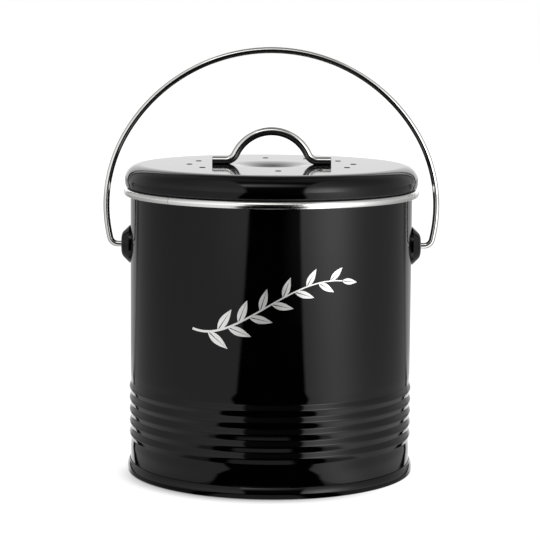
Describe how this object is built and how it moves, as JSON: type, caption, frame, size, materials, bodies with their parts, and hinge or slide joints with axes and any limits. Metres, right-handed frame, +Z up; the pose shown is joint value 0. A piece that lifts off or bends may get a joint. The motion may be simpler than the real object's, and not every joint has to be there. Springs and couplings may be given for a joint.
{
  "type": "compost bucket",
  "caption": "Round lidded kitchen compost bucket: ribbed steel wall, swinging wire bail, vented lift-off lid with an arched handle, twist-in odour filter and removable liner.",
  "frame": {"origin": "middle of the base, on the surface that the bucket stands on", "axes": "+Z up along the wall's axis, X along the bail's pivots, -Y the front"},
  "size_m": [0.2152, 0.1884, 0.2718],
  "materials": {
    "black_enamel": "gloss black enamel, slight orange peel",
    "bright_wire": "polished stainless wire",
    "rim_steel": "polished stainless strip, drawn along its length",
    "zinc_steel": "zinc-plated steel",
    "seal_silicone": "soft black silicone",
    "cage_plastic": "moulded black plastic",
    "carbon_felt": "charcoal-filled felt",
    "liner_plastic": "moulded dark grey plastic"
  },
  "bodies": {
    "bucket": {"body_wall": "black_enamel", "base_pan": "black_enamel", "rim_trim": "rim_steel", "ear_left": "black_enamel", "ear_right": "black_enamel"},
    "bail": {"bail_handle": "bright_wire"},
    "lid": {"lid_shell": "black_enamel", "lid_skirt": "black_enamel", "lid_seal": "seal_silicone", "lid_handle": "bright_wire", "handle_screws": "zinc_steel", "handle_washers": "zinc_steel", "filter_clips": "zinc_steel"},
    "filter": {"filter_cage": "cage_plastic", "carbon_filter": "carbon_felt"},
    "liner": {"liner_bucket": "liner_plastic"}
  },
  "joints": [
    {"name": "bail_swing", "type": "hinge", "parent": "bucket", "child": "bail", "pos_m": [0, 0, 0.1455], "axis": [1, 0, 0], "range_deg": [-130, 130]},
    {"name": "lid_lift", "type": "slide", "parent": "bucket", "child": "lid", "axis": [0, 0, 1], "range_m": [0, 0.015]},
    {"name": "filter_twist", "type": "hinge", "parent": "lid", "child": "filter", "pos_m": [0, 0, 0.186], "axis": [0, 0, 1], "range_deg": [0, 25]},
    {"name": "liner_lift", "type": "slide", "parent": "bucket", "child": "liner", "axis": [0, 0, 1], "range_m": [0, 0.004]}
  ]
}
